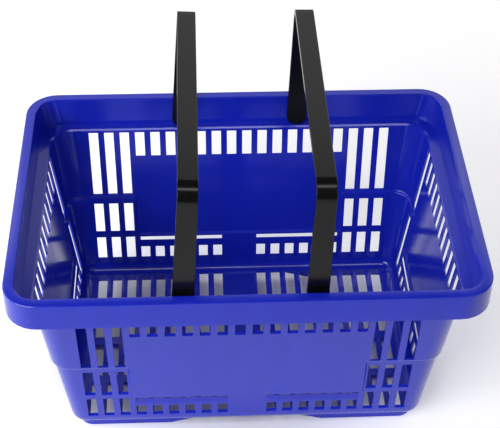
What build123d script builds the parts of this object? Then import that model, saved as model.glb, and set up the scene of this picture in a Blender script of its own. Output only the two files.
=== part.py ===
from build123d import *
import os

# Hand-held shopping basket: one moulded body and two swinging bail handles.
# Millimetres, +Z up. The origin is on the ground under the middle of the basket.

# Overall
rim_height = 224.0          # rim's top face above the ground
rim_half_x = 215.0          # half of the rim's outer length, at its top
rim_half_y = 148.2          # half of the rim's outer width, at its top
rim_corner = 30.0           # outer corner radius of the rim in plan

# Rim: a flat land with a skirt outside it and a collar inside it
land_width = 10.0
land_thickness = 2.2
skirt_drop = 28.0
skirt_flare = 0.5           # the skirt's foot stands out this far past its top
skirt_thickness = 2.0
collar_drop = 30.5
collar_draft = 1.5          # the collar's foot stands in this far from its top
collar_foot_corner = 24.0   # inner corner radius at the collar's foot
collar_thickness = 2.2

# Walls, below a ledge on which the folded handles lie
side_ledge_width = 8.6      # along the long walls
end_ledge_width = 10.7      # along the end walls
ledge_depth = 31.2          # the ledge's top face, below the rim's top
ledge_thickness = 2.2
ledge_edge_width = 1.8      # the eased edge between the ledge and the end walls
ledge_edge_depth = 3.4
wall_slope = 0.1084         # inward travel per millimetre of height
wall_thickness = 2.0        # measured level
wall_top_corner = 22.0      # inner corner radius of the walls in plan, at the ledge ...
wall_foot_corner = 17.0     # ... and at the floor
step_depth = 114.0          # the mid-height step, below the rim's top
step_inset = 2.0

# Floor and the foot ring under it
floor_depth = 213.0         # the floor's top face, below the rim's top
floor_thickness = 2.2
floor_inner_radius = 11.0
floor_outer_radius = 13.2
foot_half_x = 167.0
foot_half_y = 101.0
foot_corner = 14.0
foot_thickness = 3.0
foot_relief_height = 7.5    # the long sides are cut up this far in the middle
foot_relief_half = 50.0
foot_relief_ramp = 25.0

# Slot grid, shared by the walls and the floor
slot_pitch = 15.88
slot_width = 9.63
long_wall_columns = 20
long_wall_open_columns = 3  # columns of tall slots at each end of a long wall
end_wall_columns = 12
end_wall_open_columns = 1
spine_columns = 2           # plain columns in the middle of each wall's foot, and of the floor
tall_row = (35.1, 113.6)    # rows of slots: top and bottom, below the rim's top
short_row = (35.1, 63.8)
middle_row = (123.4, 160.0)
lower_row = (168.6, 196.3)
end_lower_row = (123.4, 196.3)
thin_row = (168.6, 173.0)
square_row = (182.4, 196.3)
panel_foot = 167.5          # the flat panel's foot, below the rim's top
panel_margin = 1.9          # from its end slots to its inner edges
panel_overlap = 8.0         # the slabs that shape the panels start this far above the step
panel_root = 4.0            # ... and reach this far inside the walls
floor_slot_near_bank = (5.0, 47.0)   # the floor's slots, in two banks each side of its middle rib
floor_slot_far_bank = (56.0, 96.0)
floor_rib_depth = 2.8       # the floor's three cross ribs stand down this far under it
thin_lip_drop = 5.0         # the thin slots' lower lips slope down this far to the outside

# Handles
pivot_x = 59.0
pivot_depth = 20.0          # the pivots' axis, below the rim's top
handle_half_span = 134.5    # the arms' outer faces, front and back
handle_rise = 135.5         # the grip's top face above the pivots' axis
handle_thickness = 5.0
handle_bend = 16.0
grip_half_width = 8.75
pivot_end_radius = 10.0
grip_run = 20.0             # the grip's full width carries on this far below its top face
boss_radius = 8.5
boss_height = 2.0
stud_radius = 4.0
stud_clearance = 0.08
stud_head_radius = 5.4
stud_head_start = 140.0     # the snap head lies behind the collar
stud_head_length = 2.4
stud_slot = 1.6
left_lean = 3.3             # degrees from upright, towards +X
right_lean = 1.0



def panel_half(count, open_columns):
    """Half the length of a wall's flat panel, at its inner face."""
    return ((count - 1) / 2 - open_columns) * slot_pitch + slot_width / 2 + panel_margin


long_panel_half = panel_half(long_wall_columns, long_wall_open_columns)
end_panel_half = panel_half(end_wall_columns, end_wall_open_columns)
pivot_z = rim_height - pivot_depth


def plate(half_x, half_y, depth, corner):
    """A level rounded rectangle at a depth below the rim's top."""
    outline = RectangleRounded(2 * half_x, 2 * half_y, corner)
    return Pos(0, 0, rim_height - depth) * outline


def tapered_block(upper, lower):
    """A solid with straight sides between two level outlines."""
    return loft([lower.face(), upper.face()], ruled=True)


def wall_half(depth, grow, inset=0.0):
    """Half sizes of the walls at a depth: their inner face, moved out by grow."""
    top_x = rim_half_x - land_width - collar_draft - end_ledge_width
    top_y = rim_half_y - land_width - collar_draft - side_ledge_width
    travel = wall_slope * (depth - ledge_depth) + inset - grow
    return top_x - travel, top_y - travel


def wall_plate(depth, grow, inset=0.0):
    """The walls' level outline at a depth."""
    half_x, half_y = wall_half(depth, grow, inset)
    share = (depth - ledge_depth) / (floor_depth - ledge_depth)
    corner = wall_top_corner + (wall_foot_corner - wall_top_corner) * share
    return plate(half_x, half_y, depth, corner + grow)


def rim_shell():
    """The rim's land and skirt, open underneath."""
    foot = rim_half_x + skirt_flare, rim_half_y + skirt_flare
    outside = tapered_block(
        plate(rim_half_x, rim_half_y, 0, rim_corner),
        plate(*foot, skirt_drop, rim_corner + skirt_flare),
    )
    inner_corner = rim_corner - skirt_thickness
    hollow = tapered_block(
        plate(rim_half_x - skirt_thickness, rim_half_y - skirt_thickness, land_thickness, inner_corner),
        plate(foot[0] - skirt_thickness, foot[1] - skirt_thickness, skirt_drop, inner_corner + skirt_flare),
    )
    return outside - hollow


def collar_block(grow, foot_depth):
    """The collar's solid outline; grow is 0 for its inner face."""
    corner = rim_corner - land_width
    top = rim_half_x - land_width + grow, rim_half_y - land_width + grow
    share = foot_depth / collar_drop
    draft = collar_draft * share
    foot_corner = corner + (collar_foot_corner - corner) * share
    return tapered_block(
        plate(*top, 0, corner + grow),
        plate(top[0] - draft, top[1] - draft, foot_depth, foot_corner + grow),
    )


def wall_blocks():
    """The walls' outside, with its mid-height step and the rounded foot."""
    step = step_depth + wall_thickness
    upper = tapered_block(
        wall_plate(ledge_depth, wall_thickness),
        wall_plate(step, wall_thickness),
    )
    lower = tapered_block(
        wall_plate(step, wall_thickness, step_inset),
        wall_plate(floor_depth + floor_thickness, wall_thickness, step_inset),
    )
    lower = fillet(lower.edges().group_by(Axis.Z)[0], floor_outer_radius)
    return upper + lower


def ledge_plate(depth):
    """The ledge's opening, a little longer than the walls' top."""
    half_x, half_y = wall_half(ledge_depth, 0)
    return plate(half_x + ledge_edge_width, half_y, depth, wall_top_corner)


def cavity():
    """The space for the goods, from the floor up through the ledge."""
    eased = ledge_depth + ledge_edge_depth
    mouth = tapered_block(ledge_plate(collar_drop - 1), ledge_plate(ledge_depth))
    edge = tapered_block(ledge_plate(ledge_depth), wall_plate(eased, 0))
    upper = tapered_block(wall_plate(eased, 0), wall_plate(step_depth, 0))
    lower = tapered_block(
        wall_plate(step_depth, 0, step_inset),
        wall_plate(floor_depth, 0, step_inset),
    )
    lower = fillet(lower.edges().group_by(Axis.Z)[0], floor_inner_radius)
    return mouth + edge + upper + lower


def panel_prism(half_length, outer, inner, top, foot):
    """A flat slab that follows a wall's slope; outer and inner are distances from its inner face."""
    def offset(depth, grow):
        return grow - wall_slope * (depth - ledge_depth), rim_height - depth
    outline = Polyline(offset(top, outer), offset(foot, outer), offset(foot, inner), offset(top, inner), close=True)
    return extrude(Plane.XZ * make_face(outline), half_length, both=True)


def panels(outer, inner, grow):
    """Slabs on all four walls, where the flat panels carry on down past the step."""
    wall_x, wall_y = wall_half(ledge_depth, 0)
    top = step_depth - panel_overlap
    slabs = []
    for turn, place, half in ((0, wall_x, end_panel_half), (90, wall_y, long_panel_half)):
        slab = Pos(place, 0, 0) * panel_prism(half + grow, outer, inner, top, panel_foot + grow)
        slabs += [Rot(0, 0, turn + side) * slab for side in (0, 180)]
    return slabs


def column_places(count, first, last):
    """The middles of a wall's columns first to last, counted from one end."""
    return [(k - (count - 1) / 2) * slot_pitch for k in range(first, last + 1)]


def slot(place, row):
    """One slot through both long walls."""
    top, bottom = row
    height = rim_height - (top + bottom) / 2
    return Pos(place, 0, height) * Box(slot_width, 2 * rim_half_y - 20, bottom - top)


def thin_slot(places):
    """One level slot across a run of columns."""
    width = places[-1] - places[0] + slot_width
    height = rim_height - sum(thin_row) / 2
    middle = (places[0] + places[-1]) / 2
    return Pos(middle, 0, height) * Box(width, 2 * rim_half_y - 20, thin_row[1] - thin_row[0])


def wall_slots(count, open_columns, open_rows):
    """Every slot of a pair of walls, along X."""
    last = count - 1
    spine_first = (count - spine_columns) // 2
    cuts = []
    ends = column_places(count, 0, open_columns - 1)
    ends += column_places(count, last - open_columns + 1, last)
    for place in ends:
        cuts += [slot(place, row) for row in open_rows]
    for place in column_places(count, open_columns, last - open_columns):
        cuts.append(slot(place, short_row))
    left = column_places(count, open_columns, spine_first - 1)
    for group in (left, [-place for place in reversed(left)]):
        cuts.append(thin_slot(group))
        cuts += [slot(place, square_row) for place in group]
    return cuts


def lip_wedge(reach, middle, length):
    """A wedge under a thin slot in the wall at +X, whose inner face is at reach."""
    top = rim_height - thin_row[1]
    outside = reach + wall_thickness + 1
    drop = thin_lip_drop * (wall_thickness + 1) / wall_thickness
    outline = Polyline((reach, top), (outside, top), (outside, top - drop), close=True)
    return Pos(0, middle, 0) * extrude(Plane.XZ * make_face(outline), length / 2, both=True)


def lip_slopes():
    """The wedges that slope the thin slots' lower lips down to the outside, on all four walls."""
    reach_x, reach_y = wall_half(thin_row[1], 0, step_inset)
    walls = (
        (0, reach_x, end_wall_columns, end_wall_open_columns),
        (90, reach_y, long_wall_columns, long_wall_open_columns),
    )
    cuts = []
    for turn, reach, count, open_columns in walls:
        places = column_places(count, open_columns, (count - spine_columns) // 2 - 1)
        middle = (places[0] + places[-1]) / 2
        length = places[-1] - places[0] + slot_width
        for place in (middle, -middle):
            wedge = lip_wedge(reach, place, length)
            cuts += [Rot(0, 0, turn + side) * wedge for side in (0, 180)]
    return cuts


def floor_slots():
    """Four banks of slots through the floor, between its cross ribs and either side of its spine."""
    height = rim_height - floor_depth
    spine_first = (long_wall_columns - spine_columns) // 2
    cuts = []
    for near, far in (floor_slot_near_bank, floor_slot_far_bank):
        middle = (near + far) / 2
        for place in column_places(long_wall_columns, 0, spine_first - 1):
            for x in (place, -place):
                for y in (middle, -middle):
                    cuts.append(Pos(x, y, height) * Box(slot_width, far - near, 4 * floor_thickness))
    return cuts


def floor_ribs():
    """The cross ribs under the floor, which end on the foot ring."""
    underside = rim_height - floor_depth - floor_thickness
    length = 2 * (foot_half_x - foot_thickness / 2)
    depth = floor_rib_depth + floor_thickness / 2
    gap_middle = (floor_slot_near_bank[1] + floor_slot_far_bank[0]) / 2
    gap = floor_slot_far_bank[0] - floor_slot_near_bank[1]
    ribs = []
    for y, width in ((0, 2 * floor_slot_near_bank[0]), (gap_middle, gap), (-gap_middle, gap)):
        ribs.append(Pos(0, y, underside - floor_rib_depth + depth / 2) * Box(length, width, depth))
    return ribs


def foot_ring():
    """The ring that the basket stands on, cut up in the middle of its long sides."""
    height = rim_height - floor_depth + 1
    inner = foot_half_x - foot_thickness, foot_half_y - foot_thickness
    ring = RectangleRounded(2 * foot_half_x, 2 * foot_half_y, foot_corner)
    ring -= RectangleRounded(2 * inner[0], 2 * inner[1], foot_corner - foot_thickness)
    ramp_end = foot_relief_half + foot_relief_ramp
    relief = Polyline(
        (-ramp_end, 0),
        (-foot_relief_half, foot_relief_height),
        (foot_relief_half, foot_relief_height),
        (ramp_end, 0),
        close=True,
    )
    cut = extrude(Plane.XZ * make_face(relief), 2 * foot_half_y, both=True)
    return extrude(ring, height) - cut


def pivot_holes():
    """The holes in the collar that the handles' studs turn in."""
    hole = Cylinder(stud_radius + stud_clearance, 2 * (stud_head_start + stud_head_length))
    return [Pos(x, 0, pivot_z) * Rot(90, 0, 0) * hole for x in (-pivot_x, pivot_x)]


def basket_body():
    """The one-piece moulding: rim, collar, ledge, walls, floor and foot ring."""
    ledge_foot = ledge_depth + ledge_thickness
    body = rim_shell() - collar_block(0, skirt_drop)
    body += collar_block(collar_thickness, ledge_foot)
    body += wall_blocks()
    body += panels(wall_thickness, -panel_root, wall_thickness)
    body += foot_ring()
    body += floor_ribs()
    body -= collar_block(0, collar_drop)
    body -= cavity()
    body -= panels(0, -2 * panel_root, 0)
    body -= wall_slots(long_wall_columns, long_wall_open_columns, (tall_row, middle_row, lower_row))
    end_cuts = wall_slots(end_wall_columns, end_wall_open_columns, (tall_row, end_lower_row))
    body -= [Rot(0, 0, 90) * stretch(cut) for cut in end_cuts]
    body -= lip_slopes()
    body -= floor_slots()
    body -= pivot_holes()
    return body


def stretch(cut):
    """A long-wall slot made long enough to cut both end walls."""
    size = cut.bounding_box().size
    return Pos(*cut.center()) * Box(size.X, 2 * rim_half_x - 20, size.Z)


def bail():
    """One handle, upright, with its pivots' axis along Y through the origin."""
    inner_span = handle_half_span - handle_thickness
    below = 2 * pivot_end_radius
    bend_inner = handle_bend - handle_thickness
    outside = Pos(0, (handle_rise - below) / 2) * Rectangle(2 * handle_half_span, handle_rise + below)
    outside = fillet(outside.vertices().group_by(Axis.Y)[-1], handle_bend)
    inside_rise = handle_rise - handle_thickness
    inside = Pos(0, (inside_rise - below) / 2) * Rectangle(2 * inner_span, inside_rise + below)
    inside = fillet(inside.vertices().group_by(Axis.Y)[-1], bend_inner)
    strap = extrude(Plane.YZ * (outside - inside), 2 * pivot_end_radius, both=True)
    front = Polyline(
        (-pivot_end_radius, 0),
        (-grip_half_width, handle_rise - grip_run),
        (-grip_half_width, handle_rise),
        (grip_half_width, handle_rise),
        (grip_half_width, handle_rise - grip_run),
        (pivot_end_radius, 0),
        close=True,
    )
    face = make_face(front) + Circle(pivot_end_radius)
    strap &= extrude(Plane.XZ * face, 2 * handle_half_span, both=True)
    return strap + [side * stud() for side in (Rot(0, 0, 0), Rot(0, 0, 180))]


def stud():
    """The boss, stud and split snap head on the outside of one arm."""
    root = handle_half_span - 1
    boss_end = handle_half_span + boss_height
    head_end = stud_head_start + stud_head_length
    profile = Polyline(
        (0, root),
        (boss_radius, root),
        (boss_radius, boss_end),
        (stud_radius, boss_end),
        (stud_radius, stud_head_start),
        (stud_head_radius, stud_head_start),
        (stud_radius - 0.5, head_end),
        (0, head_end),
        close=True,
    )
    turned = revolve(make_face(profile), Axis.Y)
    split_length = head_end - boss_end
    split = Pos(0, boss_end + split_length / 2 + 0.5, 0) * Box(stud_slot, split_length, 3 * stud_head_radius)
    return turned - split


def handle(x, lean):
    """A handle at its pivots, leaning by some degrees towards +X."""
    return Pos(x, 0, pivot_z) * Rot(0, lean, 0) * bail()


os.makedirs("parts", exist_ok=True)
export_step(basket_body(), "parts/basket_body.step")
export_step(handle(-pivot_x, left_lean), "parts/left_handle.step")
export_step(handle(pivot_x, right_lean), "parts/right_handle.step")
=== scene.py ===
"""A hand-held shopping basket: one slotted blue moulding and two black bail handles."""

import logging
import math
from dataclasses import dataclass, field
from enum import Enum
from typing import Callable, Iterable, Iterator, Sequence

import bmesh
import bpy
from mathutils import Matrix, Vector


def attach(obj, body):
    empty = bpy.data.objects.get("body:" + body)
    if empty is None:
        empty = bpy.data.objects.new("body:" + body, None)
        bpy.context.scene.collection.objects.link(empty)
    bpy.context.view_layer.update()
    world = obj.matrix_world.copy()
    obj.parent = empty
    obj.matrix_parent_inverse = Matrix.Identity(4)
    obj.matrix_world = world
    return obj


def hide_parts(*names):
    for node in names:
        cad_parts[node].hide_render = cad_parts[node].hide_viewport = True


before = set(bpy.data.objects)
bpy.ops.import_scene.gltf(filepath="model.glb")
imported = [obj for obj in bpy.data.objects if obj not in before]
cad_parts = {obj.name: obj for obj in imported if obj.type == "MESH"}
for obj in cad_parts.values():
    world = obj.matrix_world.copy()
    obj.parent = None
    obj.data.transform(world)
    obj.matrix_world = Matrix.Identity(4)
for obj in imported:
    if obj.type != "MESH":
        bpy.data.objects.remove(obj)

Node = bpy.types.Node
Object = bpy.types.Object
Socket = bpy.types.NodeSocket
Pair = tuple[float, float]
Triple = tuple[float, float, float]

log = logging.getLogger("basket")

MM = 0.001
TINY = 1e-5
FACING = 0.9  # how far along an axis a face's normal points when the face counts as square to it
SMOOTH_ANGLE = math.radians(50)
NORMAL_WEIGHT = 60


class Pick(Enum):
    """What a selection is made of."""

    VERTS = "verts"
    EDGES = "edges"
    FACES = "faces"


# ---- the bench ----


class Bench:
    """A mesh on the bench: the operators that shape it, on what is selected by place."""

    def __init__(self, name: str) -> None:
        """Takes the object that an operator has just added.

        Args:
            name: its new name.
        """
        self.obj: Object = bpy.context.object
        self.obj.name = name
        self.obj.data.name = name

    @staticmethod
    def clear() -> None:
        """Deselects every object, so that an operator acts on the new one alone."""
        if bpy.context.object and bpy.context.object.mode != "OBJECT":
            bpy.ops.object.mode_set(mode="OBJECT")
        bpy.ops.object.select_all(action="DESELECT")

    @classmethod
    def plate(cls, name: str, half_x: float, half_y: float, z: float) -> "Bench":
        """Adds a level rectangle as a start.

        Args:
            name: the new object's name.
            half_x: half its length.
            half_y: half its width.
            z: its height.

        Returns:
            The bench with the rectangle in edit mode.
        """
        cls.clear()
        bpy.ops.mesh.primitive_plane_add(size=2)
        bench = cls(name)
        bench.edit()
        bench.resize((half_x, half_y, 1), (0, 0, 0))
        bench.move((0, 0, z))
        return bench

    @classmethod
    def round_bar(cls, name: str, radius: float, length: float, centre: Sequence[float], sides: int = 32) -> "Bench":
        """Adds a cylinder along Y as a start.

        Args:
            name: the new object's name.
            radius: its radius.
            length: its length along Y.
            centre: the middle of it.
            sides: how many sides stand for the round.

        Returns:
            The bench with the cylinder in edit mode.
        """
        cls.clear()
        bpy.ops.mesh.primitive_cylinder_add(vertices=sides, radius=radius, depth=length)
        bench = cls(name)
        bench.edit()
        bpy.ops.transform.rotate(value=math.pi / 2, orient_axis="X", center_override=(0, 0, 0))
        bench.move(centre)
        return bench

    def edit(self) -> None:
        """Goes into edit mode with everything selected."""
        bpy.context.view_layer.objects.active = self.obj
        bpy.ops.object.mode_set(mode="EDIT")
        bpy.ops.mesh.select_mode(type="VERT")
        self.pick_all()

    def done(self) -> Object:
        """Leaves edit mode.

        Returns:
            The finished object.
        """
        bpy.ops.object.mode_set(mode="OBJECT")
        return self.obj

    def pick(self, kind: Pick, test: Callable[..., bool]) -> int:
        """Selects what passes a test, and nothing else.

        Args:
            kind: vertices, edges or faces.
            test: takes one of them and says whether it is wanted.

        Returns:
            How many were selected.
        """
        modes = {Pick.VERTS: "VERT", Pick.EDGES: "EDGE", Pick.FACES: "FACE"}
        bpy.ops.mesh.select_mode(type=modes[kind])
        bpy.ops.mesh.select_all(action="DESELECT")
        mesh = bmesh.from_edit_mesh(self.obj.data)
        found = [item for item in getattr(mesh, kind.value) if test(item)]
        for item in found:
            item.select_set(True)
        mesh.select_flush_mode()
        bmesh.update_edit_mesh(self.obj.data)
        return len(found)

    def chosen(self) -> dict[int, Vector]:
        """Finds what is selected.

        Returns:
            Where each selected vertex is, by its index.
        """
        mesh = bmesh.from_edit_mesh(self.obj.data)
        mesh.verts.index_update()
        return {vert.index: vert.co.copy() for vert in mesh.verts if vert.select}

    def take(self, indices: Iterable[int]) -> None:
        """Selects vertices by index, and nothing else."""
        wanted = set(indices)
        self.pick(Pick.VERTS, lambda vert: vert.index in wanted)

    @staticmethod
    def pick_all() -> None:
        """Selects the whole mesh."""
        bpy.ops.mesh.select_all(action="SELECT")

    @staticmethod
    def draw_out(by: Sequence[float]) -> None:
        """Extrudes the selected faces."""
        bpy.ops.mesh.extrude_region_move(TRANSFORM_OT_translate={"value": tuple(by)})

    @staticmethod
    def face_outwards() -> None:
        """Turns the selected faces to the outside."""
        bpy.ops.mesh.normals_make_consistent(inside=False)

    def move(self, by: Sequence[float]) -> None:
        """Moves what is selected."""
        bpy.ops.transform.translate(value=tuple(by))

    def resize(self, by: Sequence[float], centre: Sequence[float]) -> None:
        """Scales what is selected about a point."""
        bpy.ops.transform.resize(value=tuple(by), center_override=tuple(centre))

    def cut(self, axis: int, places: Iterable[float]) -> None:
        """Bisects the whole mesh square to an axis, at each place.

        Args:
            axis: 0, 1 or 2 for X, Y or Z.
            places: where along the axis.
        """
        normal = [0.0, 0.0, 0.0]
        normal[axis] = 1.0
        for place in places:
            point = [0.0, 0.0, 0.0]
            point[axis] = place
            self.pick_all()
            bpy.ops.mesh.bisect(plane_co=point, plane_no=normal)

    def round_corners(self, half_x: float, half_y: float, radius: float, steps: int) -> None:
        """Rounds the four outline corners of a level rectangle."""
        self.pick(Pick.VERTS, lambda v: abs(v.co.x) > half_x - TINY and abs(v.co.y) > half_y - TINY)
        bpy.ops.mesh.bevel(offset=radius, affect="VERTICES", segments=steps, profile=0.5)

    def finish_with(self, kind: str, **settings: object) -> None:
        """Adds a modifier, sets it up and applies it.

        Args:
            kind: its type, as the modifiers call it.
            settings: its properties and their values.
        """
        modifier = self.obj.modifiers.new(kind.lower(), kind)
        for name, value in settings.items():
            setattr(modifier, name, value)
        self.clear()
        self.obj.select_set(True)
        bpy.context.view_layer.objects.active = self.obj
        bpy.ops.object.modifier_apply(modifier=modifier.name)

    def ease(self, width: float, segments: int = 2, angle: float = 28) -> None:
        """Rounds the sharp edges a little, as moulded ones are, and smooths the rest.

        Args:
            width: how far in each rounding starts.
            segments: how many faces make a rounding.
            angle: the sharpest turn, in degrees, that stays as it is.
        """
        self.finish_with(
            "BEVEL", width=width, segments=segments, limit_method="ANGLE", angle_limit=math.radians(angle),
            use_clamp_overlap=True, miter_outer="MITER_ARC",
        )
        bpy.ops.object.shade_smooth_by_angle(angle=SMOOTH_ANGLE)
        self.finish_with("WEIGHTED_NORMAL", weight=NORMAL_WEIGHT, keep_sharp=True)

    def add(self, *others: Object) -> None:
        """Joins other meshes into this one.

        Args:
            others: the meshes to join.
        """
        self.clear()
        for other in others:
            other.select_set(True)
        self.obj.select_set(True)
        bpy.context.view_layer.objects.active = self.obj
        bpy.ops.object.join()


# ---- the moulding ----


@dataclass(frozen=True)
class Level:
    """A rounded rectangle in plan at one height: a line round the moulding."""

    half_x: float
    half_y: float
    corner: float
    z: float

    @property
    def reach(self) -> Pair:
        """Where its straight sides end, in X and in Y."""
        return self.half_x - self.corner, self.half_y - self.corner

    def grown(self, by: float, z: float) -> "Level":
        """The same outline moved out evenly, at another height."""
        return Level(self.half_x + by, self.half_y + by, self.corner + by, z)


@dataclass
class SlotGrid:
    """The grid that every slot in the moulding keeps to, in metres; depths are below the rim's top."""

    pitch: float = 15.88 * MM
    width: float = 9.63 * MM
    side_columns: int = 20
    end_columns: int = 12
    side_open: int = 3
    end_open: int = 1
    spine: int = 2
    tall: Pair = (35.1 * MM, 113.0 * MM)
    short: Pair = (35.1 * MM, 63.8 * MM)
    middle: Pair = (123.4 * MM, 160.0 * MM)
    lower: Pair = (168.8 * MM, 196.3 * MM)
    end_lower: Pair = (123.4 * MM, 196.3 * MM)
    thin: Pair = (168.8 * MM, 173.0 * MM)
    square: Pair = (182.4 * MM, 196.3 * MM)
    floor: tuple[Pair, ...] = ((5.0 * MM, 47.0 * MM), (56.0 * MM, 96.0 * MM))
    end_widening: float = 1.2 * MM
    panel_margin: float = 1.9 * MM
    panel_ramp: float = 2.0 * MM

    def walls(self) -> tuple[tuple[int, int, int], ...]:
        """Both pairs of walls: the axis they stand square to, their columns and how many are open at each end."""
        return (1, self.side_columns, self.side_open), (0, self.end_columns, self.end_open)

    def places(self, count: int) -> list[float]:
        """The middles of a wall's columns."""
        return [(k - (count - 1) / 2) * self.pitch for k in range(count)]

    def slot_width(self, count: int) -> float:
        """The width of a wall's slots: the end walls' are a little wider."""
        return self.width + (self.end_widening if count == self.end_columns else 0.0)

    def edges(self, count: int) -> list[float]:
        """Both edges of each of a wall's columns."""
        return [place + side * self.slot_width(count) / 2 for place in self.places(count) for side in (-1, 1)]

    def thin_spans(self, count: int, open_columns: int) -> list[Pair]:
        """The two runs of a wall that its thin slots cross.

        Args:
            count: the wall's columns.
            open_columns: the columns of tall slots at each end of it.

        Returns:
            Where each run starts and ends.
        """
        places = self.places(count)
        first, last = (count - self.spine) // 2, (count + self.spine) // 2
        half = self.slot_width(count) / 2
        return [(places[open_columns] - half, places[first - 1] + half),
                (places[last] - half, places[count - 1 - open_columns] + half)]

    def panel(self, count: int, open_columns: int) -> float:
        """Half the length of a wall's flat panel."""
        return ((count - 1) / 2 - open_columns) * self.pitch + self.width / 2 + self.panel_margin

    def wall_openings(self, count: int, open_columns: int, tall_rows: Sequence[Pair]) -> Iterator[tuple[Pair, Pair]]:
        """Every opening of a wall.

        Args:
            count: the wall's columns.
            open_columns: the columns of tall slots at each end of it.
            tall_rows: the depths of those columns' slots.

        Returns:
            Each opening's span along the wall and its span of depth.
        """
        places = self.places(count)
        half = self.slot_width(count) / 2
        first, last = (count - self.spine) // 2, (count + self.spine) // 2
        for k, place in enumerate(places):
            span = (place - half, place + half)
            if k < open_columns or k >= count - open_columns:
                yield from ((span, row) for row in tall_rows)
                continue
            yield span, self.short
            if k < first or k >= last:
                yield span, self.square
        yield from ((span, self.thin) for span in self.thin_spans(count, open_columns))


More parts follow.
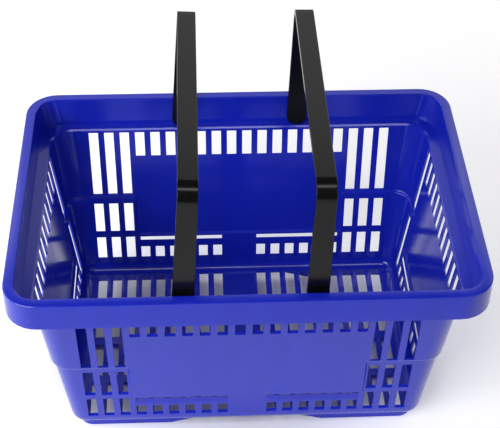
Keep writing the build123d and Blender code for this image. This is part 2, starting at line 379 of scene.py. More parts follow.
@dataclass
class Moulding:
    """The one-piece body: floor, stepped walls, ledge, collar, land and skirt, and the foot ring."""

    grid: SlotGrid = field(default_factory=SlotGrid)
    height: float = 224 * MM
    wall: float = 2.0 * MM
    rim_half: Pair = (215 * MM, 148.2 * MM)
    rim_corner: float = 30 * MM
    land: float = 10 * MM
    rim_edge: float = 1.6 * MM
    skirt_drop: float = 28 * MM
    skirt_flare: float = 0.5 * MM
    collar_drop: float = 30.5 * MM
    collar_draft: float = 1.5 * MM
    collar_foot_corner: float = 24 * MM
    ledge_depth: float = 31.2 * MM
    wall_top: Pair = (192.8 * MM, 128.1 * MM)
    wall_top_corner: float = 22 * MM
    wall_foot_corner: float = 14.1 * MM
    ledge_ease: Triple = (1.9 * MM, 1.5 * MM, 1.3 * MM)
    slope: float = 0.1084
    step_depth: float = 114 * MM
    step: float = 2 * MM
    step_profile: tuple[Pair, ...] = (
        (3.2 * MM, 2.0 * MM), (2.2 * MM, 1.6 * MM), (1.2 * MM, 0.75 * MM), (0.4 * MM, 0.2 * MM), (-0.2 * MM, 0.0),
    )
    panel_foot: float = 166.9 * MM
    floor_depth: float = 213 * MM
    floor_round: float = 11 * MM
    thin_lip_drop: float = 5 * MM
    lip_drop: float = 2.2 * MM
    rib: Pair = (164 * MM, 5.4 * MM)
    corner_steps: int = 8
    round_steps: int = 5
    foot_half: Pair = (167 * MM, 101 * MM)
    foot_corner: float = 14 * MM
    foot_wall: float = 3 * MM
    foot_relief: float = 7.5 * MM
    foot_relief_span: Pair = (50 * MM, 75 * MM)
    pivot: Pair = (59 * MM, 20 * MM)
    pivot_hole: float = 4.08 * MM
    edge_round: float = 0.45 * MM
    rim_turns: tuple[float, ...] = (0, 30, 60, 90)
    panel_lead: float = 1 * MM
    lip_reach: float = 0.4 * MM
    foot_overlap: float = 0.2 * MM
    rib_overlap: float = 0.5 * MM
    pivot_clearance: float = 2 * MM

    def wall_level(self, depth: float, inset: float = 0.0) -> Level:
        """The walls' inner face at a depth below the rim's top.

        Args:
            depth: how far below the rim's top.
            inset: how far in the face stands there.

        Returns:
            The line round the face.
        """
        travel = self.slope * (depth - self.ledge_depth) + inset
        share = (depth - self.ledge_depth) / (self.floor_depth - self.ledge_depth)
        corner = self.wall_top_corner + (self.wall_foot_corner - self.wall_top_corner) * share
        return Level(self.wall_top[0] - travel, self.wall_top[1] - travel, corner, self.height - depth)

    def floor_levels(self) -> list[Level]:
        """The floor's edge and the lines up its rounded foot.

        Returns:
            The levels, upwards.
        """
        lean = math.atan(self.slope)
        radius = self.floor_round
        middle = self.wall_level(self.floor_depth - radius, self.step)
        flat = middle.grown(-radius / math.cos(lean), self.height - self.floor_depth)
        levels = [flat]
        for k in range(1, self.round_steps + 1):
            turn = (math.pi / 2 - lean) * k / self.round_steps
            levels.append(flat.grown(radius * math.sin(turn), flat.z + radius * (1 - math.cos(turn))))
        return levels

    def wall_levels(self) -> list[Level]:
        """The lines up the walls: each row of slots, the panels' foot and the step.

        Returns:
            The levels, upwards.
        """
        grid = self.grid
        low = [grid.square[1], grid.square[0], grid.thin[1], grid.thin[0], self.panel_foot,
               self.panel_foot - grid.panel_ramp, grid.middle[1], grid.middle[0]]
        high = [grid.tall[1], grid.short[1], grid.tall[0]]
        return ([self.wall_level(d, self.step) for d in low]
                + [self.wall_level(self.step_depth + drop, inset) for drop, inset in self.step_profile]
                + [self.wall_level(d) for d in high])

    def rim_levels(self) -> list[Level]:
        """The lines from the walls' top over the ledge, up the collar, across the land and down the skirt.

        Returns:
            The levels, in that order.
        """
        ease_x, ease_y, ease_z = self.ledge_ease
        eased = self.wall_level(self.ledge_depth + ease_z)
        top = self.wall_level(self.ledge_depth)
        ledge = Level(top.half_x + ease_x, top.half_y + ease_y, top.corner + ease_y, top.z)
        edge = self.rim_edge
        outer = Level(*self.rim_half, self.rim_corner, self.height)
        inner = outer.grown(-self.land, self.height)
        foot = Level(inner.half_x - self.collar_draft, inner.half_y - self.collar_draft,
                     self.collar_foot_corner, self.height - self.collar_drop)
        levels = [eased, ledge, foot]
        for side, way, turns in ((inner, 1, self.rim_turns), (outer, -1, self.rim_turns[::-1])):
            for turn in map(math.radians, turns):
                along, down = edge * (1 - math.cos(turn)), edge * (1 - math.sin(turn))
                levels.append(side.grown(way * along, self.height - down))
        levels.append(outer.grown(self.skirt_flare, self.height - self.skirt_drop))
        return levels

    def raise_to(self, bench: Bench, start: Level, end: Level) -> None:
        """Extrudes the open edge from one level to the next: sides straight out, corners about their centres.

        Args:
            bench: the mesh, with its open edge selected.
            start: the level that the open edge is at.
            end: the level to draw it to.
        """
        bpy.ops.mesh.extrude_edges_move()
        bench.move((0, 0, end.z - start.z))
        ring = bench.chosen()
        reach_x, reach_y = start.reach
        sides: dict[tuple[int, int], list[int]] = {}
        for index, co in ring.items():
            sign_x, sign_y = (1 if co.x > 0 else -1), (1 if co.y > 0 else -1)
            past_x, past_y = abs(co.x) > reach_x - TINY, abs(co.y) > reach_y - TINY
            key = (sign_x if past_x else 0, sign_y if past_y else 0)
            sides.setdefault(key, []).append(index)
        scale = end.corner / start.corner
        for (sign_x, sign_y), members in sides.items():
            bench.take(members)
            if sign_x and sign_y:
                centre = (sign_x * reach_x, sign_y * reach_y, end.z)
                bench.resize((scale, scale, 1), centre)
                end_x, end_y = end.reach
                bench.move((sign_x * (end_x - reach_x), sign_y * (end_y - reach_y), 0))
            else:
                bench.move((sign_x * (end.half_x - start.half_x), sign_y * (end.half_y - start.half_y), 0))
        bench.take(ring)
        bpy.ops.mesh.select_mode(type="EDGE")

    def floor_plate(self, flat: Level) -> Bench:
        """The floor, with the grid's lines cut across it, clear of its corners, and its corners rounded.

        Args:
            flat: the flat floor's outline.

        Returns:
            The bench with the floor in edit mode.
        """
        grid = self.grid
        bench = Bench.plate("basket_moulding", flat.half_x, flat.half_y, flat.z)
        banks = [place for bank in grid.floor for place in bank if place < flat.reach[1]]
        for axis, count, open_columns in grid.walls():
            panel = grid.panel(count, open_columns)
            lines = [panel, panel + grid.panel_ramp] + (banks if axis == 0 else [])
            bench.cut(1 - axis, sorted(grid.edges(count) + [sign * line for sign in (-1, 1) for line in lines]))
        bench.round_corners(flat.half_x, flat.half_y, flat.corner, self.corner_steps)
        return bench

    def stand_panels_out(self, bench: Bench) -> None:
        """Moves the flat panels out to the plane of the wall above the step.

        Args:
            bench: the mesh, in edit mode.
        """
        grid = self.grid
        top, foot = self.step_depth - self.panel_lead, self.panel_foot - grid.panel_ramp
        for axis, count, open_columns in grid.walls():
            half = grid.panel(count, open_columns)
            for sign in (-1, 1):
                def on_panel(vert: bmesh.types.BMVert) -> bool:
                    """Says whether a vertex is on the panel of this wall.

                    Args:
                        vert: the vertex.

                    Returns:
                        True on the panel.
                    """
                    depth = self.height - vert.co.z
                    level = self.wall_level(depth, self.step)
                    wall = (level.half_x, level.half_y)[axis]
                    return (top < depth < foot + TINY and abs(vert.co[1 - axis]) < half + TINY
                            and vert.co[axis] * sign > wall - TINY)
                bench.pick(Pick.VERTS, on_panel)
                self.flatten_to_wall(bench, axis, sign)

    def flatten_to_wall(self, bench: Bench, axis: int, sign: int) -> None:
        """Moves what is selected square to a wall, row by row, out to the plane of the wall above the step.

        Args:
            bench: the mesh, in edit mode.
            axis: the axis that the wall stands square to.
            sign: which of the two facing walls.
        """
        rows: dict[int, dict[int, Vector]] = {}
        for index, co in bench.chosen().items():
            rows.setdefault(round(co.z / TINY), {})[index] = co
        for members in rows.values():
            bench.take(members)
            sample = next(iter(members.values()))
            level = self.wall_level(self.height - sample.z)
            shift = [0.0, 0.0, 0.0]
            shift[axis] = sign * (level.half_x, level.half_y)[axis] - sample[axis]
            bench.move(shift)

    def open_slots(self, bench: Bench) -> None:
        """Takes out the faces that stand where the slots are, in the walls and the floor.

        Args:
            bench: the mesh, in edit mode.
        """
        grid = self.grid
        side = list(grid.wall_openings(grid.side_columns, grid.side_open, (grid.tall, grid.middle, grid.lower)))
        end = list(grid.wall_openings(grid.end_columns, grid.end_open, (grid.tall, grid.end_lower)))
        spine = grid.spine * grid.pitch / 2
        columns = [place for place in grid.places(grid.side_columns) if abs(place) > spine]

        def opened(face: bmesh.types.BMFace) -> bool:
            """Says whether a face stands where an opening is.

            Args:
                face: the face.

            Returns:
                True in an opening.
            """
            centre = face.calc_center_median()
            depth = self.height - centre.z
            if abs(face.normal.z) > FACING:
                on_floor = abs(depth - self.floor_depth) < TINY
                column = any(abs(centre.x - place) < grid.width / 2 for place in columns)
                return on_floor and column and any(near < abs(centre.y) < far for near, far in grid.floor)
            if abs(face.normal.y) > FACING:
                place, openings = centre.x, side
            elif abs(face.normal.x) > FACING:
                place, openings = centre.y, end
            else:
                return False
            return any(low < place < high and row[0] < depth < row[1] for (low, high), row in openings)

        bench.pick(Pick.FACES, opened)
        bpy.ops.mesh.delete(type="FACE")

    def foot_ring(self) -> Object:
        """The ring under the floor, cut up in the middle of its long sides.

        Returns:
            The ring's own mesh.
        """
        top = self.height - self.floor_depth - self.foot_overlap
        bench = Bench.plate("foot_ring", *self.foot_half, 0)
        inner, outer = self.foot_relief_span
        bench.cut(0, (-outer, -inner, inner, outer))
        bench.round_corners(*self.foot_half, self.foot_corner, self.corner_steps)
        bench.pick_all()
        bpy.ops.mesh.delete(type="ONLY_FACE")
        bench.pick(Pick.EDGES, lambda e: max(abs(v.co.y) for v in e.verts) < self.foot_half[1] / 2
                   or (e.verts[0].co.y * e.verts[1].co.y < 0 and abs(e.verts[0].co.x) < outer + TINY))
        bpy.ops.mesh.delete(type="EDGE")
        bench.pick_all()
        bpy.ops.mesh.extrude_edges_move()
        bench.move((0, 0, top))
        bench.pick(Pick.VERTS, lambda v: v.co.z < TINY and abs(v.co.x) < inner + TINY)
        bench.move((0, 0, self.foot_relief))
        bench.pick_all()
        bench.face_outwards()
        bench.done()
        bench.finish_with("SOLIDIFY", thickness=self.foot_wall, offset=-1, use_even_offset=True)
        bench.ease(self.edge_round)
        return bench.obj

    def floor_ribs(self) -> Object:
        """The three cross ribs under the floor.

        Returns:
            The ribs as one mesh.
        """
        half_x, foot = self.rib
        (near, near_end), (far, _) = self.grid.floor
        top = self.height - self.floor_depth - self.rib_overlap
        ribs = []
        for middle, width in ((0.0, 2 * near), ((near_end + far) / 2, far - near_end),
                              (-(near_end + far) / 2, far - near_end)):
            bench = Bench.plate("floor_rib", half_x, width / 2, 0)
            bench.draw_out((0, 0, top - foot))
            bench.pick_all()
            bench.move((0, middle, foot))
            bench.face_outwards()
            bench.done()
            bench.ease(self.edge_round)
            ribs.append(bench)
        ribs[0].add(*(rib.obj for rib in ribs[1:]))
        return ribs[0].obj

    def slope_lips(self, bench: Bench) -> None:
        """Slopes the openings' lower lips down to the outside, the thin slots' lips the most.

        Args:
            bench: the mesh, in edit mode.
        """
        grid = self.grid
        for axis, count, open_columns in grid.walls():
            half = grid.slot_width(count) / 2
            columns = [(place - half, place + half) for place in grid.places(count)]
            self.slope_row(bench, axis, grid.thin[1], self.thin_lip_drop, grid.thin_spans(count, open_columns))
            for depth in (grid.short[1], grid.middle[1], grid.lower[1]):
                self.slope_row(bench, axis, depth, self.lip_drop, columns)

    def slope_row(self, bench: Bench, axis: int, depth: float, drop: float, spans: Sequence[Pair]) -> None:
        """Slopes one row of lips on two facing walls.

        Args:
            bench: the mesh, in edit mode.
            axis: the axis that the walls stand square to.
            depth: the lips' depth below the rim's top.
            drop: how far their outer edges go down.
            spans: where the lips run along the walls.
        """
        level = self.wall_level(depth, self.step if depth > self.step_depth else 0.0)
        wall = (level.half_x, level.half_y)[axis] + self.wall / 2

        def on_lip(vert: bmesh.types.BMVert) -> bool:
            """Says whether a vertex is on the outer edge of a lip.

            Args:
                vert: the vertex.

            Returns:
                True on a lip's outer edge.
            """
            place = vert.co[1 - axis]
            return (abs(self.height - vert.co.z - depth) < self.lip_reach and abs(vert.co[axis]) > wall
                    and any(low - TINY < place < high + TINY for low, high in spans))

        for sign in (-1, 1):
            bench.pick(Pick.VERTS, lambda vert: on_lip(vert) and vert.co[axis] * sign > 0)
            shift = [0.0, 0.0, -drop]
            shift[axis] = -sign * self.slope * drop
            bench.move(shift)

    def pivot_cutter(self) -> Object:
        """Two bars through the collar where the handles' studs turn.

        Returns:
            The bars as one mesh.
        """
        x, depth = self.pivot
        reach = 2 * (self.rim_half[1] - self.wall - self.pivot_clearance)
        bars = [Bench.round_bar("pivot_bar", self.pivot_hole, reach, (sign * x, 0, self.height - depth))
                for sign in (-1, 1)]
        for bar in bars:
            bar.done()
        bars[0].add(bars[1].obj)
        return bars[0].obj

    def build(self) -> Object:
        """Draws the moulding up from its floor and gives it its wall.

        Returns:
            The finished piece.
        """
        floor = self.floor_levels()
        levels = floor + self.wall_levels() + self.rim_levels()
        bench = self.floor_plate(floor[0])
        bench.pick(Pick.EDGES, lambda edge: edge.is_boundary)
        for start, end in zip(levels, levels[1:]):
            self.raise_to(bench, start, end)
        self.stand_panels_out(bench)
        self.open_slots(bench)
        bench.done()
        bench.finish_with("SOLIDIFY", thickness=self.wall, offset=-1, use_even_offset=True, use_quality_normals=True)
        bench.edit()
        self.slope_lips(bench)
        bench.done()
        cutter = self.pivot_cutter()
        bench.finish_with("BOOLEAN", operation="DIFFERENCE", object=cutter, solver="EXACT")
        bpy.data.objects.remove(cutter)
        bench.ease(self.edge_round)
        bench.add(self.foot_ring(), self.floor_ribs())
        return bench.obj


# ---- the handles ----


@dataclass
class BailHandle:
    """A bail handle: a flat strap bent over at both ends, with a stud on the outside of each arm."""

    name: str
    pivot_x: float
    lean: float
    pivot_z: float = 204 * MM
    half_span: float = 134.5 * MM
    rise: float = 135.5 * MM
    thickness: float = 5 * MM
    bend: float = 16 * MM
    grip_width: float = 17.5 * MM
    end_radius: float = 10 * MM
    boss_radius: float = 8.5 * MM
    boss_height: float = 2 * MM
    stud_radius: float = 4 * MM
    head_radius: float = 5.4 * MM
    head_start: float = 140 * MM
    head_length: float = 2.4 * MM
    split: float = 1.6 * MM
    edge_round: float = 0.7 * MM
    bend_steps: int = 10
    round_sides: int = 48
    root_overlap: float = 1 * MM
    head_taper: float = 0.5 * MM
    split_start: float = 0.5 * MM
    ease_segments: int = 3
    ease_angle: float = 35

    def strap(self) -> Bench:
        """The strap, drawn from one round end up, over both bends and down to the other.

        Returns:
            The bench with the strap, out of edit mode.
        """
        middle = self.half_span - self.thickness / 2
        bench = Bench.round_bar(self.name, self.end_radius, self.thickness, (0, -middle, 0), sides=self.round_sides)
        bench.pick_all()
        bpy.ops.mesh.bisect(plane_co=(0, 0, 0), plane_no=(0, 0, 1), use_fill=True, clear_outer=True)
        bench.pick(Pick.FACES, lambda face: face.normal.z > FACING and face.calc_center_median().z > -TINY)
        narrow = self.grip_width / (2 * self.end_radius)
        straight = self.rise - self.bend
        bench.draw_out((0, 0, straight))
        bench.resize((narrow, 1, 1), (0, 0, 0))
        spin = {"steps": self.bend_steps, "angle": math.pi / 2, "axis": (1, 0, 0)}
        bpy.ops.mesh.spin(center=(0, -self.half_span + self.bend, straight), **spin)
        bench.draw_out((0, 2 * (self.half_span - self.bend), 0))
        bpy.ops.mesh.spin(center=(0, self.half_span - self.bend, straight), **spin)
        bench.draw_out((0, 0, -straight))
        bench.resize((1 / narrow, 1, 1), (0, middle, 0))
        bpy.ops.mesh.delete(type="FACE")
        bench.done()
        other = Bench.round_bar("far_end", self.end_radius, self.thickness, (0, middle, 0), sides=self.round_sides)
        other.pick_all()
        bpy.ops.mesh.bisect(plane_co=(0, 0, 0), plane_no=(0, 0, 1), clear_outer=True)
        other.done()
        bench.add(other.obj)
        bench.edit()
        bpy.ops.mesh.remove_doubles(threshold=TINY)
        bench.face_outwards()
        bench.done()
        return bench

    def stud(self, side: int) -> Object:
        """The boss, stud and split snap head on one arm.

        Args:
            side: -1 for the front arm, 1 for the back one.

        Returns:
            The stud's own mesh.
        """
        root = self.half_span - self.root_overlap
        boss_end = self.half_span + self.boss_height
        head_end = self.head_start + self.head_length
        bench = Bench.round_bar("stud", self.boss_radius, boss_end - root, (0, side * (root + boss_end) / 2, 0))
        bench.pick(Pick.FACES, lambda face: face.normal.y * side > FACING)
        steps = ((boss_end, self.stud_radius), (self.head_start, self.stud_radius),
                 (self.head_start, self.head_radius), (head_end, self.stud_radius - self.head_taper))
        place, radius = boss_end, self.boss_radius
        for next_place, next_radius in steps:
            shift = (0, side * (next_place - place), 0)
            bench.draw_out(shift)
            scale = next_radius / radius
            bench.resize((scale, 1, scale), (0, side * next_place, 0))
            place, radius = next_place, next_radius
        bench.done()
        Bench.clear()
        bpy.ops.mesh.primitive_cube_add(size=1)
        saw = Bench("saw")
        saw.edit()
        cut_start, cut_end = boss_end + self.split_start, head_end + self.root_overlap
        saw.resize((self.split, cut_end - cut_start, 3 * self.head_radius), (0, 0, 0))
        saw.move((0, side * (cut_start + cut_end) / 2, 0))
        saw.done()
        bench.finish_with("BOOLEAN", operation="DIFFERENCE", object=saw.obj, solver="EXACT")
        bpy.data.objects.remove(saw.obj)
        return bench.obj

    def build(self) -> Object:
        """Shapes the handle upright at the origin, then leans it and sets it on its pivots.

        Returns:
            The finished piece.
        """
        bench = self.strap()
        bench.ease(self.edge_round, self.ease_segments, self.ease_angle)
        studs = [self.stud(side) for side in (-1, 1)]
        bench.add(*studs)
        bench.edit()
        bpy.ops.transform.rotate(value=-math.radians(self.lean), orient_axis="Y", center_override=(0, 0, 0))
        bench.move((self.pivot_x, 0, self.pivot_z))
        bench.done()
        return bench.obj


# ---- the finishes ----


class Nodes:
    """Adds and links nodes in one tree."""

    def __init__(self, tree: bpy.types.NodeTree) -> None:
        """Works on a material's or a group's tree."""
        self.tree = tree

    def add(self, kind: str, **settings: object) -> Node:
        """Adds a node.

        Args:
            kind: its type.
            settings: input sockets' values, by name, and the node's own properties.

        Returns:
            The new node.
        """
        node = self.tree.nodes.new(kind)
        for name, value in settings.items():
            label = name.replace("_", " ").title()
            if label in node.inputs and not hasattr(node, name):
                node.inputs[label].default_value = value
            else:
                setattr(node, name, value)
        return node

    def link(self, source: Socket, target: Socket) -> None:
        """Joins two sockets."""
        self.tree.links.new(source, target)

    def feed(self, value: object, socket: Socket) -> None:
        """Gives a socket what it reads.

        Args:
            value: a socket to join it to, or a number or a colour to set.
            socket: the input.
        """
        if isinstance(value, Socket):
            self.link(value, socket)
        else:
            socket.default_value = value

    def place(self) -> Socket:
        """Adds the object's own coordinates."""
        return self.add("ShaderNodeTexCoord").outputs["Object"]

    def stretched(self, source: Socket, scale: Triple, turn: Triple = (0, 0, 0)) -> Socket:
        """Turns and stretches coordinates.

        Args:
            source: the coordinates.
            scale: how much along each axis.
            turn: how far about each axis, in radians.

        Returns:
            The new coordinates.
        """
        node = self.add("ShaderNodeMapping", rotation=turn, scale=scale)
        self.link(source, node.inputs["Vector"])
        return node.outputs["Vector"]

    def noise(self, source: Socket, **settings: float) -> Socket:
        """Adds a noise texture.

        Args:
            source: its coordinates.
            settings: its scale, detail and roughness.

        Returns:
            Its value.
        """
        node = self.add("ShaderNodeTexNoise", **settings)
        self.link(source, node.inputs["Vector"])
        return node.outputs["Fac"]

    def maths(self, operation: str, first: object, second: object = 0.5) -> Socket:
        """Adds a Math node.

        Args:
            operation: what it does.
            first: a socket or a number.
            second: a socket or a number.

        Returns:
            Its output.
        """
        node = self.add("ShaderNodeMath", operation=operation)
        self.feed(first, node.inputs[0])
        self.feed(second, node.inputs[1])
        return node.outputs[0]

    def mix(self, share: Socket, first: object, second: object) -> Socket:
        """Mixes two colours.

        Args:
            share: how much of the second one there is.
            first: a socket or a colour.
            second: a socket or a colour.

        Returns:
            The mixed colour.
        """
        node = self.add("ShaderNodeMix", data_type="RGBA")
        for value, label in ((share, "Factor"), (first, "A"), (second, "B")):
            self.feed(value, node.inputs[label])
        return node.outputs["Result"]

    def ramp(self, source: Socket, low: float, high: float) -> Socket:
        """Stretches a value so that low gives 0 and high gives 1.

        Args:
            source: the value.
            low: what gives 0.
            high: what gives 1.

        Returns:
            The stretched value.
        """
        node = self.add("ShaderNodeMapRange", interpolation_type="SMOOTHSTEP", from_min=low, from_max=high)
        self.link(source, node.inputs["Value"])
        return node.outputs["Result"]


def new_group(name: str, inputs: dict[str, float], outputs: Iterable[str]) -> tuple[Nodes, Node, Node]:
    """Makes a shader node group with named number sockets.

    Args:
        name: the group's name.
        inputs: each input's name and default number.
        outputs: each output's name.

    Returns:
        The group's tree to add nodes to, its input node and its output node.
    """
    tree = bpy.data.node_groups.new(name, "ShaderNodeTree")
    for label, default in inputs.items():
        socket = tree.interface.new_socket(name=label, in_out="INPUT", socket_type="NodeSocketFloat")
        socket.default_value = default
    for label in outputs:
        tree.interface.new_socket(name=label, in_out="OUTPUT", socket_type="NodeSocketFloat")
    nodes = Nodes(tree)
    return nodes, nodes.add("NodeGroupInput"), nodes.add("NodeGroupOutput")


@dataclass
class Effects:
    """The effects that both plastics share, each a node group built once."""

    wave_scale: float = 28.0
    grain_share: float = 0.12
    edge_band: Pair = (0.53, 0.62)
    patch_scale: float = 60.0
    patch_band: Pair = (0.42, 0.68)
    stroke_lays: tuple[tuple[float, Triple], ...] = (
        (0.5, (900.0, 24.0, 140.0)), (-0.9, (26.0, 1000.0, 180.0)),
    )
    stroke_tilt: float = 0.2
    stroke_band: Pair = (0.68, 0.76)
    dust_scale: float = 9.0
    dust_band: Pair = (0.45, 0.8)

    def __post_init__(self) -> None:
        """Builds the groups."""
        self.grain = self._grain()
        self.wear = self._wear()
        self.scuffs = self._scuffs()

    def _grain(self) -> bpy.types.ShaderNodeTree:
        """Fine moulded grain over slow waviness, as a height.

        Returns:
            The group.
        """
        nodes, enter, leave = new_group("moulded_grain", {"Scale": 1400.0, "Waviness": 0.3}, ["Height"])
        place = nodes.place()
        fine = nodes.noise(place, detail=3.0, roughness=0.6)
        nodes.link(enter.outputs["Scale"], fine.node.inputs["Scale"])
        slow = nodes.noise(place, scale=self.wave_scale, detail=1.0)
        wavy = nodes.maths("MULTIPLY", slow, enter.outputs["Waviness"])
        nodes.link(nodes.maths("ADD", wavy, nodes.maths("MULTIPLY", fine, self.grain_share)), leave.inputs["Height"])
        return nodes.tree

    def _wear(self) -> bpy.types.ShaderNodeTree:
        """Where edges are rubbed, as a mask.

        Returns:
            The group.
        """
        nodes, enter, leave = new_group("edge_wear", {"Amount": 0.5}, ["Mask"])
        edge = nodes.ramp(nodes.add("ShaderNodeNewGeometry").outputs["Pointiness"], *self.edge_band)
        broken = nodes.ramp(nodes.noise(nodes.place(), scale=self.patch_scale, detail=4.0), *self.patch_band)
        rubbed = nodes.maths("MULTIPLY", edge, broken)
        nodes.link(nodes.maths("MULTIPLY", rubbed, enter.outputs["Amount"]), leave.inputs["Mask"])
        return nodes.tree

    def _scuffs(self) -> bpy.types.ShaderNodeTree:
        """Short fine scratches in two directions and a little dust, as masks.

        Returns:
            The group.
        """
        nodes, enter, leave = new_group("scuffs", {"Density": 0.5}, ["Scratches", "Dust"])
        place = nodes.place()
        strokes = []
        for turn, stretch in self.stroke_lays:
            lay = nodes.stretched(place, stretch, (self.stroke_tilt, turn / 3, turn))
            strokes.append(nodes.ramp(nodes.noise(lay, scale=1.0, detail=2.0), *self.stroke_band))
        both = nodes.maths("MAXIMUM", *strokes)
        nodes.link(nodes.maths("MULTIPLY", both, enter.outputs["Density"]), leave.inputs["Scratches"])
        dust = nodes.noise(place, scale=self.dust_scale, detail=6.0, roughness=0.7)
        nodes.link(nodes.ramp(dust, *self.dust_band), leave.inputs["Dust"])
        return nodes.tree


@dataclass(frozen=True)
class Plastic:
    """A moulded plastic: its colours, gloss and how worn it is."""

    name: str
    colour: Triple
    deep: Triple
    worn: Triple
    gloss: float
    grain_scale: float
    waviness: float
    bump: float
    wear: float
    scratches: float
    specular: float = 0.5
    ior: float = 1.49
    flow: Triple = (1.0, 1.0, 0.12)
    streak_scale: float = 42.0
    streak_band: Pair = (0.3, 0.75)
    dust_dulling: float = 0.08
    scratch_dulling: float = 0.25
    scratch_height: float = -0.15
    relief: float = 0.4 * MM

    def material(self, effects: Effects) -> bpy.types.Material:
        """Makes the material.

        Args:
            effects: the shared node groups.

        Returns:
            The new material.
        """
        material = bpy.data.materials.new(self.name)
        material.use_nodes = True
        nodes = Nodes(material.node_tree)
        shader = material.node_tree.nodes["Principled BSDF"]
        shader.inputs["Specular IOR Level"].default_value = self.specular
        shader.inputs["IOR"].default_value = self.ior
        grain = nodes.add("ShaderNodeGroup", node_tree=effects.grain, scale=self.grain_scale, waviness=self.waviness)
        wear = nodes.add("ShaderNodeGroup", node_tree=effects.wear, amount=self.wear)
        scuffs = nodes.add("ShaderNodeGroup", node_tree=effects.scuffs, density=self.scratches)

        streaks = nodes.noise(nodes.stretched(nodes.place(), self.flow), scale=self.streak_scale, detail=3.0)
        tone = nodes.mix(nodes.ramp(streaks, *self.streak_band), (*self.deep, 1), (*self.colour, 1))
        rubbed = nodes.maths("MAXIMUM", wear.outputs["Mask"], scuffs.outputs["Scratches"])
        nodes.link(nodes.mix(rubbed, tone, (*self.worn, 1)), shader.inputs["Base Color"])

        dull = nodes.maths("MULTIPLY", scuffs.outputs["Dust"], self.dust_dulling)
        scratched = nodes.maths("MULTIPLY", scuffs.outputs["Scratches"], self.scratch_dulling)
        rough = nodes.maths("ADD", scratched, dull)
        nodes.link(nodes.maths("ADD", rough, self.gloss), shader.inputs["Roughness"])
        bump = nodes.add("ShaderNodeBump", strength=self.bump, distance=self.relief)
        carved = nodes.maths("MULTIPLY", scuffs.outputs["Scratches"], self.scratch_height)
        nodes.link(nodes.maths("ADD", grain.outputs["Height"], carved), bump.inputs["Height"])
        nodes.link(bump.outputs["Normal"], shader.inputs["Normal"])
        return material


BLUE_PLASTIC = Plastic(
    name="blue_polypropylene", colour=(0.0080, 0.0200, 0.485), deep=(0.0070, 0.0175, 0.445), worn=(0.05, 0.06, 0.60),
    gloss=0.15, grain_scale=1500.0, waviness=0.35, bump=0.035, wear=0.25, scratches=0.04,
)
BLACK_PLASTIC = Plastic(
    name="black_polypropylene", colour=(0.0042, 0.0044, 0.0041), deep=(0.0026, 0.0028, 0.0026),
    worn=(0.03, 0.03, 0.028), gloss=0.20, grain_scale=1900.0, waviness=0.30, bump=0.06, wear=0.30, scratches=0.05,
    specular=0.29,
)


# ---- the stage ----


@dataclass(frozen=True)
class Softbox:
    """A soft rectangular studio light that faces the basket."""

    name: str
    azimuth: float
    elevation: float
    power: float
    size: Pair = (1.3, 1.1)
    distance: float = 1.9
    aim: Triple = (0, 0, 120 * MM)

    def hang(self) -> None:
        """Adds the light at its place and turns it to the basket."""
        data = bpy.data.lights.new(self.name, "AREA")
        data.shape = "RECTANGLE"
        data.size, data.size_y = self.size
        data.energy = self.power
        lamp = bpy.data.objects.new(self.name, data)
        bpy.context.scene.collection.objects.link(lamp)
        turn, rise = math.radians(self.azimuth), math.radians(self.elevation)
        away = Vector((math.sin(turn) * math.cos(rise), -math.cos(turn) * math.cos(rise), math.sin(rise)))
        lamp.location = Vector(self.aim) + away * self.distance
        lamp.rotation_euler = (-away).to_track_quat("-Z", "Y").to_euler()


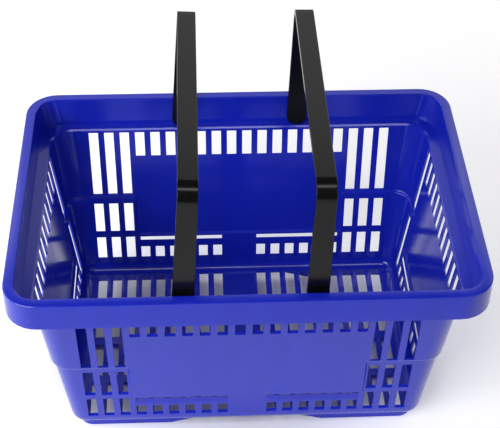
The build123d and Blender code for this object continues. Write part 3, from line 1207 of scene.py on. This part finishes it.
@dataclass
class Studio:
    """The pale floor with its painted glow and painted shadow, the soft lights and the camera."""

    lens: float = 90.19
    eye: Triple = (-40.18 * MM, -881.26 * MM, 1009.64 * MM)
    yaw: float = math.radians(-2.986)
    pitch: float = math.radians(-42.916)
    roll: float = math.radians(0.835)
    lights: tuple[Softbox, ...] = (
        Softbox("key_softbox", -45, 32, 30.0),
        Softbox("left_softbox", -90, 32, 6.5),
        Softbox("back_left_softbox", -135, 32, 7.5),
        Softbox("back_softbox", 180, 34, 3.7, (1.2, 1.1)),
        Softbox("back_right_softbox", 135, 32, 7.0),
        Softbox("front_right_softbox", 45, 32, 3.5),
        Softbox("front_strip", 5, 68, 4.6, (0.9, 0.32)),
    )
    sky: float = 0.05
    floor_size: float = 12.0
    paper: tuple[tuple[float, ...], tuple[float, ...]] = ((0.86, 0.86, 0.875, 1), (0.90, 0.90, 0.905, 1))
    paper_roughness: float = 0.75
    paper_specular: float = 0.2
    fibre_scale: float = 220.0
    sensor: float = 36.0
    # the floor's glow is painted light: a pool round the basket, with painted shadow under it and none far in front
    glow: float = 0.35
    glow_reach: Pair = (200 * MM, 135 * MM)
    glow_band: Pair = (0.72, 1.15)
    glow_front: Pair = (-420 * MM, -230 * MM)

    def camera(self) -> None:
        """Sets up the camera, level turned by yaw, pitch and roll."""
        data = bpy.data.cameras.new("camera")
        data.lens = self.lens
        data.sensor_width = self.sensor
        eye = bpy.data.objects.new("camera", data)
        bpy.context.scene.collection.objects.link(eye)
        turn = Matrix.Rotation(self.yaw, 4, "Z")
        tilt = Matrix.Rotation(math.pi / 2 + self.pitch, 4, "X")
        lean = Matrix.Rotation(self.roll, 4, "Z")
        eye.matrix_world = Matrix.Translation(self.eye) @ turn @ tilt @ lean
        bpy.context.scene.camera = eye

    def floor(self) -> None:
        """Lays a wide pale floor that glows round the basket as painted light, with painted shadow under the basket.
        """
        Bench.clear()
        bpy.ops.mesh.primitive_plane_add(size=self.floor_size)
        floor = bpy.context.object
        floor.name = "studio_floor"
        material = bpy.data.materials.new("pale_paper")
        material.use_nodes = True
        nodes = Nodes(material.node_tree)
        shader = material.node_tree.nodes["Principled BSDF"]
        shader.inputs["Roughness"].default_value = self.paper_roughness
        shader.inputs["Specular IOR Level"].default_value = self.paper_specular
        place = nodes.place()
        tone = nodes.mix(nodes.noise(place, scale=self.fibre_scale, detail=3.0), *self.paper)
        nodes.link(tone, shader.inputs["Base Color"])
        # painted light: the floor glows round the basket, and stays dark under it as painted shadow
        nodes.link(self.painted_glow_mask(nodes, place), shader.inputs["Emission Color"])
        shader.inputs["Emission Strength"].default_value = self.glow
        floor.data.materials.append(material)

    def painted_glow_mask(self, nodes: Nodes, place: Socket) -> Socket:
        """Where the floor glows as painted light: a pool round the basket, with painted shadow under it and no glow
        far in front.

        Args:
            nodes: the floor's nodes.
            place: its coordinates.

        Returns:
            The mask, from 0 under the basket, the painted shadow, to 1 round it, the painted glow.
        """
        away = nodes.add("ShaderNodeVectorMath", operation="LENGTH")
        nodes.link(nodes.stretched(place, (1 / self.glow_reach[0], 1 / self.glow_reach[1], 0)), away.inputs[0])
        axes = nodes.add("ShaderNodeSeparateXYZ")
        nodes.link(place, axes.inputs[0])
        in_front = nodes.ramp(axes.outputs["Y"], *self.glow_front)
        return nodes.maths("MULTIPLY", nodes.ramp(away.outputs["Value"], *self.glow_band), in_front)

    def surroundings(self) -> None:
        """Lights the room evenly with a pale sky."""
        world = bpy.data.worlds.new("studio_sky")
        world.use_nodes = True
        back = world.node_tree.nodes["Background"]
        back.inputs["Color"].default_value = (1, 1, 1, 1)
        back.inputs["Strength"].default_value = self.sky
        bpy.context.scene.world = world

    def set_up(self) -> None:
        """Builds the whole stage and sets plain colour handling."""
        self.camera()
        self.floor()
        self.surroundings()
        for light in self.lights:
            light.hang()
        bpy.context.scene.view_settings.view_transform = "Standard"
        bpy.context.scene.view_settings.look = "None"


# ---- assembly ----


def dress(piece: Object, material: bpy.types.Material, body: str, node: str) -> None:
    """Gives a piece its finish, hangs it on the moving body that it rides on and hides the part that it stands for.

    Args:
        piece: the finished mesh.
        material: its plastic.
        body: the moving body that it rides on.
        node: the part that it stands for.
    """
    piece.data.materials.clear()
    piece.data.materials.append(material)
    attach(piece, body)
    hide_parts(node)
    log.info("%s: %d faces on %s", piece.name, len(piece.data.polygons), body)


def main() -> None:
    """Builds the stage, the moulding and both handles."""
    logging.basicConfig(level=logging.INFO, format="%(name)s: %(message)s")
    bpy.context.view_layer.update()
    Studio().set_up()
    effects = Effects()
    blue, black = BLUE_PLASTIC.material(effects), BLACK_PLASTIC.material(effects)
    moulding = Moulding()
    dress(moulding.build(), blue, "basket", "basket_body")
    for name, side, lean in (("left", -1, 3.3), ("right", 1, 1.0)):
        handle = BailHandle(f"{name}_bail_handle", side * moulding.pivot[0], lean)
        dress(handle.build(), black, f"{name}_bail", f"{name}_handle")
    bpy.context.view_layer.update()


if __name__ == "__main__":
    main()
